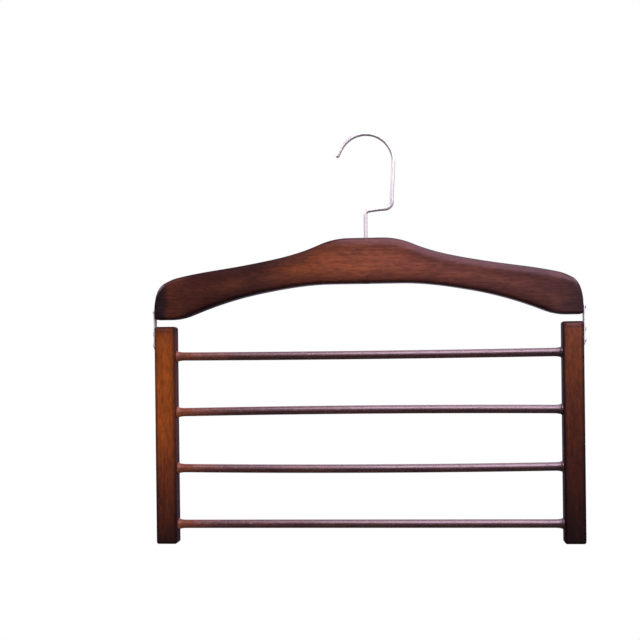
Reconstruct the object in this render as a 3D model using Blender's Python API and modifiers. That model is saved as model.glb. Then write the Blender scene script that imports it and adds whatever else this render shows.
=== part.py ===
"""Tiered trouser hanger: a contoured wooden yoke on a swivel hook, and under it a ladder of round rails
that swings on two link plates at the yoke's ends.

Units are metres, +Z is up and the front faces -Y. The origin is where the hook rests on a closet rail:
the inner top of its arc, on the axis that the yoke turns about.
"""

import math
from itertools import pairwise

import bmesh
import bpy
from mathutils import Vector
from mathutils.geometry import interpolate_bezier

# Fits
FIT_GAP = 0.0003  # clearance between pieces that touch on the real hanger
CUT_MARGIN = 0.002  # how far a cutter runs past the face that it opens

# Hook
WIRE_DIAMETER = 0.0038
HOOK_RADIUS = 0.0280  # of the arc's centreline
HOOK_REACH = 0.103  # from the yoke's crown up to the resting point
HOOK_ARC_END = math.radians(155)  # where the arc gives way to the straight tip, from +X
HOOK_TIP_LENGTH = 0.008
LEG_LEAN = math.radians(2.6)  # the leg leans outwards, away from the stem
LEG_BEND_RADIUS = 0.008
STEM_BEND_RADIUS = 0.0039
STEM_HEIGHT = 0.027  # from the crown up to the centreline of the level run
UPSET_DIAMETER = 0.0072  # the shank's end, spread below the washer
UPSET_HEIGHT = 0.002
UPSET_FLAT_SHARE = 0.4  # of its diameter, flat on its underside

# Hook bearing in the yoke
BUSH_DIAMETER = 0.0065
BUSH_LENGTH = 0.018
WASHER_DIAMETER = 0.009
WASHER_THICKNESS = 0.001
COUNTERBORE_DEPTH = 0.008

# Yoke
YOKE_WIDTH = 0.430
YOKE_DEPTH = 0.020
CROWN_HEIGHT = 0.0454  # the yoke's height at its centre
ARCH_RISE = 0.0338  # from the feet at the ends up to the underside at the centre

# The yoke's outline. Drops are below the crown or the arch, rises are above the feet, and slopes are in
# degrees along the outline as it runs clockwise from the crown, seen from the front.
HANDLE_SHARE = 0.34  # length of an outline handle, as a share of the stretch between two knots
CROWN_FLAT = 0.032
NECK_FROM_CENTRE = 0.047
NECK_DROP = 0.0064
NECK_SLOPE = -23.5
ARM_DROP = 0.025
ARM_SLOPE = -10
SHOULDER_FROM_END = 0.0235
SHOULDER_DROP = 0.0372
SHOULDER_SLOPE = -13.5
TURN_FROM_END = 0.0117
TURN_DROP = 0.042
TURN_SLOPE = -27
FOOT_CORNER = 0.003
FOOT_FROM_END = 0.0155
HEEL_FROM_END = 0.0385
HEEL_RISE = 0.0046
HEEL_SLOPE = 158
ARCH_FLAT = 0.069
ARCH_ARM_DROP = 0.0081
ARCH_ARM_SLOPE = 169.4

# The yoke's eased edges: how far they reach in from the outline, and back from the face
TOP_ROUND = 0.006
SHOULDER_ROUND = 0.007
CORNER_ROUND = 0.0025
UNDER_ROUND = 0.004
ROUND_DEPTH = 0.005

# Ladder: two stiles and the rails between them
STILE_WIDTH = 0.021
STILE_DEPTH = 0.016
STILE_EDGE = 0.002
STILE_GAP = 0.007  # from the yoke's feet down to the stiles' tops
FIRST_RAIL_DROP = 0.0303
RAIL_PITCH = 0.0568
RAIL_COUNT = 4
LAST_RAIL_RISE = 0.0193
RAIL_DIAMETER = 0.0085
FLARE_DIAMETER = 0.012
FLARE_LENGTH = 0.008
FLARE_LIP = 0.0004
TENON_LENGTH = 0.012
TENON_CHAMFER = 0.0008

# Link plates and their screws
PLATE_WIDTH = 0.009
PLATE_THICKNESS = 0.0013
PLATE_END_MARGIN = 0.005  # from an end hole's centre to the plate's end
PIVOT_RISE = 0.0075  # from the yoke's feet up to the pivot screws
STILE_SCREW_DROP = 0.0075  # from the stiles' tops down to their upper screws
STILE_SCREW_PITCH = 0.011
SCREW_HEAD_DIAMETER = 0.006
SCREW_HEAD_HEIGHT = 0.0012
SCREW_SHANK_DIAMETER = 0.0034
SCREW_LENGTH = 0.014
SCREW_POINT = 0.003

# Facets
ROUND_SIDES = 24
SMALL_SIDES = 16
HOOK_ARC_STEPS = 26
BEND_STEPS = 7
CORNER_STEPS = 4
EASE_STEPS = 4
EDGE_SEGMENTS = 3
WIRE_RESOLUTION = 4
SHARP_ANGLE = math.radians(35)

# Places that follow from the sizes
END_X = YOKE_WIDTH / 2
CROWN_Z = -HOOK_REACH
ARCH_Z = CROWN_Z - CROWN_HEIGHT
FOOT_Z = ARCH_Z - ARCH_RISE
PIVOT_Z = FOOT_Z + PIVOT_RISE
STILE_TOP_Z = FOOT_Z - STILE_GAP
STILE_LENGTH = FIRST_RAIL_DROP + (RAIL_COUNT - 1) * RAIL_PITCH + LAST_RAIL_RISE
STILE_X = END_X - STILE_WIDTH / 2
INNER_X = END_X - STILE_WIDTH
SHANK_BORE_RADIUS = WIRE_DIAMETER / 2 + FIT_GAP
COUNTERBORE_CEILING_Z = ARCH_Z + COUNTERBORE_DEPTH
WASHER_Z = COUNTERBORE_CEILING_Z - FIT_GAP - WASHER_THICKNESS
UPSET_TOP_Z = WASHER_Z - FIT_GAP
PLATE_X = END_X + FIT_GAP + PLATE_THICKNESS / 2
SCREW_SEAT_X = END_X + PLATE_THICKNESS + 2 * FIT_GAP
SCREW_BORE_RADIUS = SCREW_SHANK_DIAMETER / 2 + FIT_GAP
STILE_SCREWS_Z = [STILE_TOP_Z - STILE_SCREW_DROP - i * STILE_SCREW_PITCH for i in range(2)]

# Directions
UPRIGHT = (0, 0, 0)
ALONG_X = (0, math.pi / 2, 0)
ALONG_MINUS_X = (0, -math.pi / 2, 0)
PLATE_TURN = (math.pi / 2, 0, math.pi / 2)
SIDES = (("left", -1, ALONG_MINUS_X), ("right", 1, ALONG_X))  # with the turn that faces outwards


def clear_scene():
    for obj in list(bpy.data.objects):
        bpy.data.objects.remove(obj)


def collection(name):
    made = bpy.data.collections.new(name)
    bpy.context.scene.collection.children.link(made)
    return made


def material(name, colour, roughness, metallic=0.0):
    made = bpy.data.materials.new(name)
    made.use_nodes = True
    shader = made.node_tree.nodes["Principled BSDF"]
    shader.inputs["Base Color"].default_value = (*colour, 1)
    shader.inputs["Roughness"].default_value = roughness
    shader.inputs["Metallic"].default_value = metallic
    return made


def placed(name, data, finish, parts, at, turn=UPRIGHT, axis=None):
    """An object of this mesh or curve at a point of the hanger, riding on the empty at its joint's axis."""
    obj = bpy.data.objects.new(name, data)
    parts.objects.link(obj)
    if finish and not data.materials:
        data.materials.append(finish)
    obj.parent = axis
    obj.location = Vector(at) - (axis.location if axis else Vector())
    obj.rotation_euler = turn
    return obj


def joint_axis(name, at, parts):
    empty = bpy.data.objects.new(name, None)
    parts.objects.link(empty)
    empty.location = at
    return empty


def smooth(mesh):
    mesh.shade_smooth()
    mesh.set_sharp_from_angle(angle=SHARP_ANGLE)


def turned(name, profile, closed=False):
    """The half section of a turned shape: (radius, height) down its outer side, for a Screw about Z."""
    mesh = bpy.data.meshes.new(name)
    points = [(radius, 0, height) for radius, height in profile]
    edges = [(i, i + 1) for i in range(len(points) - 1)]
    if closed:
        edges.append((len(points) - 1, 0))
    mesh.from_pydata(points, edges, [])
    return mesh


def turn_on_lathe(obj, sides):
    screw = obj.modifiers.new("turn", "SCREW")
    screw.axis = "Z"
    screw.steps = sides
    screw.render_steps = sides
    screw.use_merge_vertices = True
    screw.merge_threshold = 0.00001
    return obj


def as_cutter(obj):
    obj.hide_render = True
    obj.display_type = "WIRE"
    return obj


def drill(name, radius, length, cutters, at, turn, axis, sides):
    """A cylinder that stands for a drill, from its point at the hole's bottom back out along +Z."""
    bm = bmesh.new()
    bmesh.ops.create_cone(
        bm, cap_ends=True, segments=sides, radius1=radius, radius2=radius, depth=length
    )
    bmesh.ops.translate(bm, verts=bm.verts, vec=(0, 0, length / 2))
    mesh = bpy.data.meshes.new(name)
    bm.to_mesh(mesh)
    bm.free()
    return as_cutter(placed(name, mesh, None, cutters, at, turn, axis))


def cut(obj, cutter):
    boolean = obj.modifiers.new(cutter.name, "BOOLEAN")
    boolean.operation = "DIFFERENCE"
    boolean.solver = "EXACT"
    boolean.object = cutter


def quarter_turn(steps):
    return [math.pi / 2 * i / steps for i in range(steps + 1)]


def arc(centre, radius, start, end, steps):
    """Points of an arc in the XZ plane, from angle start to angle end, both included."""
    angles = [start + (end - start) * i / steps for i in range(steps + 1)]
    return [(centre[0] + radius * math.cos(a), centre[1] + radius * math.sin(a)) for a in angles]


def smooth_run(knots, steps):
    """Points (x, z, edge round) of a smooth line through knots of (x, z, slope in degrees, edge round)."""
    points = []
    for (start, end), count in zip(pairwise(knots), steps, strict=True):
        first, last = (Vector((knot[0], 0, knot[1])) for knot in (start, end))
        reach = HANDLE_SHARE * (last - first).length
        away, back = (
            Vector((math.cos(math.radians(knot[2])), 0, math.sin(math.radians(knot[2])))) * reach
            for knot in (start, end)
        )
        line = interpolate_bezier(first, first + away, last - back, last, count + 1)
        for i, point in enumerate(line[:-1]):
            points.append((point.x, point.z, start[3] + (end[3] - start[3]) * i / count))
    points.append((knots[-1][0], knots[-1][1], knots[-1][3]))
    return points


def yoke_outline():
    """The closed outline as (x, z, edge round), from the crown clockwise as seen from the front."""
    shoulder_x = END_X - SHOULDER_FROM_END
    top = smooth_run(
        [
            (0, CROWN_Z, 0, TOP_ROUND),
            (CROWN_FLAT / 2, CROWN_Z, 0, TOP_ROUND),
            (NECK_FROM_CENTRE, CROWN_Z - NECK_DROP, NECK_SLOPE, TOP_ROUND),
            ((NECK_FROM_CENTRE + shoulder_x) / 2, CROWN_Z - ARM_DROP, ARM_SLOPE, TOP_ROUND),
            (shoulder_x, CROWN_Z - SHOULDER_DROP, SHOULDER_SLOPE, TOP_ROUND),
            (END_X - TURN_FROM_END, CROWN_Z - TURN_DROP, TURN_SLOPE, SHOULDER_ROUND),
            (END_X, FOOT_Z + FOOT_CORNER, -90, CORNER_ROUND),
        ],
        [2, 8, 9, 7, 5, 14],
    )
    corner_centre = (END_X - FOOT_CORNER, FOOT_Z + FOOT_CORNER)
    corner = [
        (x, z, CORNER_ROUND)
        for x, z in arc(corner_centre, FOOT_CORNER, 0, -math.pi / 2, CORNER_STEPS)[1:-1]
    ]
    heel_x = END_X - HEEL_FROM_END
    under = smooth_run(
        [
            (END_X - FOOT_CORNER, FOOT_Z, 180, CORNER_ROUND),
            (END_X - FOOT_FROM_END, FOOT_Z, 180, UNDER_ROUND),
            (heel_x, FOOT_Z + HEEL_RISE, HEEL_SLOPE, UNDER_ROUND),
            ((ARCH_FLAT / 2 + heel_x) / 2, ARCH_Z - ARCH_ARM_DROP, ARCH_ARM_SLOPE, UNDER_ROUND),
            (ARCH_FLAT / 2, ARCH_Z, 180, UNDER_ROUND),
            (0, ARCH_Z, 180, UNDER_ROUND),
        ],
        [4, 8, 7, 8, 2],
    )
    right = top + corner + under
    left = [(-x, z, edge_round) for x, z, edge_round in reversed(right[1:-1])]
    return right + left


def inward_directions(outline):
    """The unit direction into the wood at each point of a clockwise outline."""
    points = [Vector((x, z)) for x, z, _ in outline]
    sides = [(points[(i + 1) % len(points)] - point).normalized() for i, point in enumerate(points)]
    return [
        Vector((before.y + after.y, -before.x - after.x)).normalized()
        for before, after in zip([sides[-1], *sides[:-1]], sides, strict=True)
    ]


def yoke_mesh():
    """A loft of the outline from face to face, drawn in towards each face so that the edges are eased."""
    outline = yoke_outline()
    inward = inward_directions(outline)
    side_half = YOKE_DEPTH / 2 - ROUND_DEPTH
    angles = quarter_turn(EASE_STEPS)
    levels = [(-1, angle) for angle in reversed(angles)] + [(1, angle) for angle in angles]
    bm = bmesh.new()
    rings = []
    for side, angle in levels:
        y = side * (side_half + ROUND_DEPTH * math.sin(angle))
        drawn_in = 1 - math.cos(angle)
        rings.append(
            [
                bm.verts.new((x + edge_round * drawn_in * n.x, y, z + edge_round * drawn_in * n.y))
                for (x, z, edge_round), n in zip(outline, inward, strict=True)
            ]
        )
    count = len(outline)
    for ring, following in pairwise(rings):
        for i in range(count):
            j = (i + 1) % count
            bm.faces.new((ring[i], ring[j], following[j], following[i]))
    bm.faces.new(rings[0])
    bm.faces.new(rings[-1])
    bmesh.ops.recalc_face_normals(bm, faces=bm.faces)
    mesh = bpy.data.meshes.new("yoke")
    bm.to_mesh(mesh)
    bm.free()
    smooth(mesh)
    return mesh


def yoke(finish, parts, cutters, axis):
    """The contoured board, bored for the hook's bearing and drilled at its ends for the pivot screws."""
    obj = placed("yoke", yoke_mesh(), finish, parts, (0, 0, 0), UPRIGHT, axis)
    bush_seat_z = CROWN_Z - BUSH_LENGTH - FIT_GAP
    bush_bore = BUSH_DIAMETER / 2 + FIT_GAP
    counterbore = WASHER_DIAMETER / 2 + FIT_GAP
    bore = turned(
        "hook_bore",
        [
            (0, CROWN_Z + CUT_MARGIN),
            (bush_bore, CROWN_Z + CUT_MARGIN),
            (bush_bore, bush_seat_z),
            (SHANK_BORE_RADIUS, bush_seat_z),
            (SHANK_BORE_RADIUS, COUNTERBORE_CEILING_Z),
            (counterbore, COUNTERBORE_CEILING_Z),
            (counterbore, ARCH_Z - CUT_MARGIN),
            (0, ARCH_Z - CUT_MARGIN),
        ],
    )
    cutter = placed("hook_bore", bore, None, cutters, (0, 0, 0), UPRIGHT, axis)
    cut(obj, as_cutter(turn_on_lathe(cutter, ROUND_SIDES)))
    for name, side, turn in SIDES:
        cut(obj, screw_hole(f"{name}_pivot_hole", side, turn, PIVOT_Z, cutters, axis))


def screw_hole(name, side, turn, z, cutters, axis):
    """A pilot hole for a plate screw, from beyond its point out past the wood's outer face."""
    bottom_x = SCREW_SEAT_X - SCREW_LENGTH - FIT_GAP
    length = END_X + CUT_MARGIN - bottom_x
    return drill(name, SCREW_BORE_RADIUS, length, cutters, (side * bottom_x, 0, z), turn, axis, SMALL_SIDES)


def hook_path():
    """Centreline points (x, z, share of the wire's radius), from the upset end up the stem to the tip."""
    radius = WIRE_DIAMETER / 2
    spread = UPSET_DIAMETER / WIRE_DIAMETER
    foot_z = UPSET_TOP_Z - UPSET_HEIGHT
    dome = [
        (
            0,
            foot_z + UPSET_HEIGHT / 2 * (1 - math.cos(a)),
            spread * (UPSET_FLAT_SHARE + (1 - UPSET_FLAT_SHARE) * math.sin(a)),
        )
        for a in quarter_turn(EASE_STEPS)
    ]
    stem = [*dome, (0, UPSET_TOP_Z, spread), (0, UPSET_TOP_Z + FIT_GAP / 2, 1)]

    run_z = CROWN_Z + STEM_HEIGHT
    arc_centre = (0, radius - HOOK_RADIUS)
    bend_z = run_z + LEG_BEND_RADIUS
    rise = (arc_centre[1] - bend_z) * math.sin(LEG_LEAN)
    bend_x = (HOOK_RADIUS - LEG_BEND_RADIUS - rise) / math.cos(LEG_LEAN)
    stem_bend_centre = (STEM_BEND_RADIUS, run_z - STEM_BEND_RADIUS)
    bent = (
        arc(stem_bend_centre, STEM_BEND_RADIUS, math.pi, math.pi / 2, BEND_STEPS)
        + arc((bend_x, bend_z), LEG_BEND_RADIUS, -math.pi / 2, -LEG_LEAN, BEND_STEPS)
        + arc(arc_centre, HOOK_RADIUS, -LEG_LEAN, HOOK_ARC_END, HOOK_ARC_STEPS)
    )

    end_x, end_z = bent[-1]
    along = (-math.sin(HOOK_ARC_END), math.cos(HOOK_ARC_END))
    straight = HOOK_TIP_LENGTH - radius
    tip = [
        (
            end_x + along[0] * (straight + radius * math.sin(a)),
            end_z + along[1] * (straight + radius * math.sin(a)),
            math.cos(a),
        )
        for a in quarter_turn(EASE_STEPS)[:-1]
    ]
    return stem + [(x, z, 1) for x, z in bent] + tip


def hook(finish, parts):
    """The bent wire. It turns freely in the yoke, so it stands on the swivel's axis and rides on nothing."""
    curve = bpy.data.curves.new("hook", "CURVE")
    curve.dimensions = "3D"
    curve.twist_mode = "MINIMUM"
    curve.bevel_depth = WIRE_DIAMETER / 2
    curve.bevel_resolution = WIRE_RESOLUTION
    curve.use_fill_caps = True
    path = hook_path()
    spline = curve.splines.new("POLY")
    spline.points.add(len(path) - 1)
    for point, (x, z, share) in zip(spline.points, path, strict=True):
        point.co = (x, 0, z, 1)
        point.radius = share
    spline.use_smooth = True
    placed("hook", curve, finish, parts, (0, 0, 0))


def sleeve(name, outer, inner, height, finish, parts, bottom_z, axis):
    """A turned ring about the swivel's axis, standing on bottom_z."""
    profile = turned(name, [(outer, height), (outer, 0), (inner, 0), (inner, height)], closed=True)
    obj = placed(name, profile, finish, parts, (0, 0, bottom_z), UPRIGHT, axis)
    return turn_on_lathe(obj, ROUND_SIDES)


def hook_bearing(bush_finish, washer_finish, parts, axis):
    """The sleeve that lines the bore under the crown, and the washer that rests on the upset end."""
    sleeve(
        "hook_bush",
        BUSH_DIAMETER / 2,
        SHANK_BORE_RADIUS,
        BUSH_LENGTH,
        bush_finish,
        parts,
        CROWN_Z - BUSH_LENGTH,
        axis,
    )
    sleeve(
        "hook_washer",
        WASHER_DIAMETER / 2,
        SHANK_BORE_RADIUS,
        WASHER_THICKNESS,
        washer_finish,
        parts,
        WASHER_Z,
        axis,
    )


def rail_heights():
    return [STILE_TOP_Z - FIRST_RAIL_DROP - i * RAIL_PITCH for i in range(RAIL_COUNT)]


def stile(name, side, outwards, finish, parts, cutters, axis):
    """An upright bar with eased edges, socketed for the rails inside and drilled for the plate outside."""
    bm = bmesh.new()
    bmesh.ops.create_cube(bm, size=1)
    bmesh.ops.scale(bm, verts=bm.verts, vec=(STILE_WIDTH, STILE_DEPTH, STILE_LENGTH))
    mesh = bpy.data.meshes.new(name)
    bm.to_mesh(mesh)
    bm.free()
    middle = (side * STILE_X, 0, STILE_TOP_Z - STILE_LENGTH / 2)
    obj = placed(name, mesh, finish, parts, middle, UPRIGHT, axis)
    eased = obj.modifiers.new("eased edges", "BEVEL")
    eased.width = STILE_EDGE
    eased.segments = EDGE_SEGMENTS
    inwards = ALONG_MINUS_X if outwards == ALONG_X else ALONG_X
    socket_radius = RAIL_DIAMETER / 2 + FIT_GAP
    socket_x = INNER_X + TENON_LENGTH
    for number, z in enumerate(rail_heights(), 1):
        cutter = drill(
            f"{name}_socket_{number}",
            socket_radius,
            TENON_LENGTH + CUT_MARGIN,
            cutters,
            (side * socket_x, 0, z),
            inwards,
            axis,
            ROUND_SIDES,
        )
        cut(obj, cutter)
    for number, z in enumerate(STILE_SCREWS_Z, 1):
        cut(obj, screw_hole(f"{name}_hole_{number}", side, outwards, z, cutters, axis))
    smooth(mesh)


def rail_profile():
    """A dowel's half section about its own axis: tenon, flared shoulder, plain run, and the same again."""
    shoulder = INNER_X - FIT_GAP
    end = INNER_X + TENON_LENGTH - FIT_GAP
    radius = RAIL_DIAMETER / 2
    flare = FLARE_DIAMETER / 2 - radius
    cove = [
        (
            radius + flare * (1 - math.sin(a)),
            shoulder - FLARE_LIP - (FLARE_LENGTH - FLARE_LIP) * (1 - math.cos(a)),
        )
        for a in (0, math.pi / 8, math.pi / 4, math.pi / 2)
    ]
    upper = [
        (0, end),
        (radius - TENON_CHAMFER, end),
        (radius, end - TENON_CHAMFER),
        (radius, shoulder),
        (FLARE_DIAMETER / 2, shoulder),
        *cove,
    ]
    return upper + [(r, -z) for r, z in reversed(upper)]


def rails(finish, parts, axis):
    profile = turned("rail", rail_profile())
    for number, z in enumerate(rail_heights(), 1):
        obj = placed(f"rail_{number}", profile, finish, parts, (0, 0, z), ALONG_X, axis)
        turn_on_lathe(obj, ROUND_SIDES)


def add_loop(curve, points):
    spline = curve.splines.new("POLY")
    spline.points.add(len(points) - 1)
    for point, (x, y) in zip(spline.points, points, strict=True):
        point.co = (x, y, 0, 1)
    spline.use_cyclic_u = True


def plate_outline():
    """A strip with round ends and three holes. Its own origin is the pivot hole."""
    holes = [0] + [z - PIVOT_Z for z in STILE_SCREWS_Z]
    end_radius = PLATE_WIDTH / 2
    inset = PLATE_END_MARGIN - end_radius
    curve = bpy.data.curves.new("link_plate", "CURVE")
    curve.dimensions = "2D"
    curve.fill_mode = "BOTH"
    curve.extrude = PLATE_THICKNESS / 2
    add_loop(
        curve,
        arc((0, inset), end_radius, 0, math.pi, 10)
        + arc((0, holes[-1] - inset), end_radius, math.pi, 2 * math.pi, 10),
    )
    for y in holes:
        add_loop(curve, arc((0, y), SCREW_BORE_RADIUS, 0, 2 * math.pi, SMALL_SIDES)[:-1])
    return curve


def link_plates(finish, parts, axis):
    outline = plate_outline()
    for name, side, _ in SIDES:
        at = (side * PLATE_X, 0, PIVOT_Z)
        placed(f"{name}_plate", outline, finish, parts, at, PLATE_TURN, axis)


def screw_profile():
    """A round-head wood screw about its own axis, the underside of its head at height 0."""
    head, shank = SCREW_HEAD_DIAMETER / 2, SCREW_SHANK_DIAMETER / 2
    dome = [(head * math.sin(a), SCREW_HEAD_HEIGHT * math.cos(a)) for a in quarter_turn(EASE_STEPS)]
    return [*dome, (shank, 0), (shank, SCREW_POINT - SCREW_LENGTH), (0, -SCREW_LENGTH)]


def plate_screws(finish, parts, yoke_axis, ladder_axis):
    """The pivot screw in each end of the yoke, and the two that hold each plate to its stile."""
    profile = turned("plate_screw", screw_profile())
    upper_z, lower_z = STILE_SCREWS_Z
    for name, side, turn in SIDES:
        for place, z, axis in (
            ("pivot", PIVOT_Z, yoke_axis),
            ("upper", upper_z, ladder_axis),
            ("lower", lower_z, ladder_axis),
        ):
            at = (side * SCREW_SEAT_X, 0, z)
            obj = placed(f"{name}_{place}_screw", profile, finish, parts, at, turn, axis)
            turn_on_lathe(obj, SMALL_SIDES)


def main():
    clear_scene()
    parts = collection("tiered_trouser_hanger")
    cutters = collection("cutters")
    swivel = joint_axis("swivel_axis", (0, 0, CROWN_Z), parts)
    swing = joint_axis("swing_axis", (0, 0, PIVOT_Z), parts)

    yoke_wood = material("yoke wood", (0.150, 0.042, 0.024), 0.32)
    stile_wood = material("stile wood", (0.165, 0.052, 0.022), 0.36)
    rail_wood = material("rail wood", (0.110, 0.036, 0.024), 0.30)
    nickel = material("satin nickel", (0.72, 0.67, 0.65), 0.28, 1.0)
    plate_steel = material("bright steel", (0.76, 0.73, 0.72), 0.24, 1.0)
    screw_steel = material("screw steel", (0.62, 0.60, 0.59), 0.30, 1.0)
    brass = material("brass", (0.70, 0.50, 0.22), 0.35, 1.0)

    hook(nickel, parts)
    yoke(yoke_wood, parts, cutters, swivel)
    hook_bearing(brass, screw_steel, parts, swivel)
    for name, side, outwards in SIDES:
        stile(f"{name}_stile", side, outwards, stile_wood, parts, cutters, swing)
    rails(rail_wood, parts, swing)
    link_plates(plate_steel, parts, swing)
    plate_screws(screw_steel, parts, swivel, swing)


main()
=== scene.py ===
"""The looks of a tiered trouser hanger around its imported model.

Metres, +Z up, the front facing -Y. The origin is the hook's resting point on a closet rail, on the axis that
the yoke turns about. Each piece stands where its node stands, and its ends come from the node's box. The
outline and the bends are drawn as the solids are, with what is too slight for the solids added: the rails'
bows, the hook's lean and sloping run, and softer edges.
"""

import math
from itertools import pairwise

import bmesh
import bpy
import numpy as np
from mathutils import Matrix, Vector
from mathutils.geometry import delaunay_2d_cdt, interpolate_bezier


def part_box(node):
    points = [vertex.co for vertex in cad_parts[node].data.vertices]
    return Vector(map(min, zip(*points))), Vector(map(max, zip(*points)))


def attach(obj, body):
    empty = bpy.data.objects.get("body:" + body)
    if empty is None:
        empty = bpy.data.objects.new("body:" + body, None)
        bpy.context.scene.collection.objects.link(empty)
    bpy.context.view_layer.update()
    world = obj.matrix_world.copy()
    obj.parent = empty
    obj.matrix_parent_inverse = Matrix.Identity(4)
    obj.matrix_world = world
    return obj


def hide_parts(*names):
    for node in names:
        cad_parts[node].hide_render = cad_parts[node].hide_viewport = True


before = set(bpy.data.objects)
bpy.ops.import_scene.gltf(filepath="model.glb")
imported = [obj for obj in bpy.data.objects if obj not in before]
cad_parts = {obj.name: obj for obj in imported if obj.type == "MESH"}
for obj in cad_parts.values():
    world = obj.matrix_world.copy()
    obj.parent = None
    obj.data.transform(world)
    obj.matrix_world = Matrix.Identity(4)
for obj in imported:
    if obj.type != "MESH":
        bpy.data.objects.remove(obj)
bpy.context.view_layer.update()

# Camera, read off the photograph: its turn round the hanger, its tilt sideways, and the picture's own centre
CAMERA_AZIMUTH = 0.06267
CAMERA_ROLL = 0.01168
CAMERA_DISTANCE = 0.9328
CAMERA_TARGET = Vector((0, 0, -0.2253))
CAMERA_FOCAL_PX = 927.6
CAMERA_CENTRE_PX = (46.9, 40.0)
PICTURE_PX = 640
SENSOR_WIDTH = 36

# Fits and places
FIT_GAP = 0.0003
YOKE_LOW, YOKE_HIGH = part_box("yoke")
END_X = YOKE_HIGH.x
CROWN_Z = YOKE_HIGH.z
FOOT_Z = YOKE_LOW.z

# Yoke outline
CROWN_HEIGHT = 0.0454
ARCH_Z = CROWN_Z - CROWN_HEIGHT
HANDLE_SHARE = 0.34  # of the way between two knots
CROWN_FLAT = 0.032
NECK_FROM_CENTRE = 0.047
NECK_DROP = 0.0064
NECK_SLOPE = -23.5
ARM_DROP = 0.025
ARM_SLOPE = -10
SHOULDER_FROM_END = 0.0235
SHOULDER_DROP = 0.0372
SHOULDER_SLOPE = -13.5
TURN_FROM_END = 0.0117
TURN_DROP = 0.042
TURN_SLOPE = -27
FOOT_CORNER = 0.003
FOOT_FROM_END = 0.0155
HEEL_FROM_END = 0.0385
HEEL_RISE = 0.0046
HEEL_SLOPE = 158
ARCH_FLAT = 0.069
ARCH_ARM_DROP = 0.0081
ARCH_ARM_SLOPE = 169.4
ARM_REACH = END_X - HEEL_FROM_END
TOP_ROUND = 0.010
SHOULDER_ROUND = 0.007
CORNER_ROUND = 0.0025
UNDER_ROUND = 0.004
ROUND_DEPTH = 0.005
ROUND_SOFTNESS = 1.25

# Hook bearing
WIRE_DIAMETER = 0.0038
BUSH_DIAMETER = 0.0065
BUSH_LENGTH = 0.018
WASHER_DIAMETER = 0.009
COUNTERBORE_DEPTH = 0.008

# Hook
HOOK_RADIUS = 0.028
HOOK_ARC_END = math.radians(155)
HOOK_TIP_LENGTH = 0.008
LEG_LEAN = math.radians(2.6)
LEG_BEND_RADIUS = 0.008
STEM_BEND_RADIUS = 0.0039
STEM_HEIGHT = 0.0278
HOOK_LEAN = math.radians(0.7)
RUN_SLOPE = math.radians(8)
BEND_SPREAD = 1.45
BEND_THINNING = 0.75
BEND_REACH = 0.0075
UPSET_DIAMETER = 0.0072
UPSET_HEIGHT = 0.002
UPSET_FLAT_SHARE = 0.4
UPSET_TOP_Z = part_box("hook_washer")[0].z - FIT_GAP
HOOK_TOP_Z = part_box("hook")[1].z

# Ladder
STILE_CORNER = 0.0023
STILE_EASE = 0.002
STILE_TOP_EASE = 0.006
STILE_TOP_DEPTH = 0.0042
RAIL_DIAMETER = 0.0085
FLARE_DIAMETER = 0.012
FLARE_LENGTH = 0.008
FLARE_LIP = 0.0004
RAIL_END_LENGTH = 0.015  # matt, at the left end: painted shade, a less glossy copy of the rail's wood that loses the highlight there
TENON_LENGTH = 0.012
TENON_CHAMFER = 0.0008
RAIL_BOWS = {"rail_1": -0.0007, "rail_2": 0.0012, "rail_3": -0.0014, "rail_4": 0}  # at their middles

# Plates and screws
PLATE_EDGE = 0.00025
SCREW_HEAD_DIAMETER = 0.006
SCREW_HEAD_HEIGHT = 0.0012
SCREW_SHANK_DIAMETER = 0.0034
SCREW_LENGTH = 0.014
SCREW_POINT = 0.003
RECESS_SPAN = 0.0034
RECESS_WIDTH = 0.0007
RECESS_DEPTH = 0.0009
SCREW_SEAT_X = END_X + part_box("left_plate")[1].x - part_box("left_plate")[0].x + 2 * FIT_GAP

# Fineness
OUTLINE_FINENESS = 3
EASE_STEPS = 12
CORNER_STEPS = 10
ROUND_SIDES = 56
WIRE_SIDES = 40
SCREW_SIDES = 40
HOOK_ARC_STEPS = 140
BEND_STEPS = 22
RUN_STEPS = 48
LEG_STEPS = 12
FACE_SPACING = 0.003
FLOOR_SIDES = 128
CUT_MARGIN = 0.002
SHARP_ANGLE = math.radians(35)
TINY = 1e-7


def quarter_turn(steps):
    return [math.pi / 2 * i / steps for i in range(steps + 1)]


def arc(centre, radius, start, end, steps):
    """Points of an arc in a plane, from angle start to angle end, both included."""
    angles = [start + (end - start) * i / steps for i in range(steps + 1)]
    return [(centre[0] + radius * math.cos(a), centre[1] + radius * math.sin(a)) for a in angles]


def smooth_run(knots, steps):
    """Points (x, z, edge round) of a smooth line through knots of (x, z, slope in degrees, edge round)."""
    points = []
    for (start, end), count in zip(pairwise(knots), steps, strict=True):
        first, last = (Vector((knot[0], 0, knot[1])) for knot in (start, end))
        reach = HANDLE_SHARE * (last - first).length
        away, back = (
            Vector((math.cos(math.radians(knot[2])), 0, math.sin(math.radians(knot[2])))) * reach
            for knot in (start, end)
        )
        line = interpolate_bezier(first, first + away, last - back, last, count + 1)
        for i, point in enumerate(line[:-1]):
            points.append((point.x, point.z, start[3] + (end[3] - start[3]) * i / count))
    points.append((knots[-1][0], knots[-1][1], knots[-1][3]))
    return points


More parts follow.
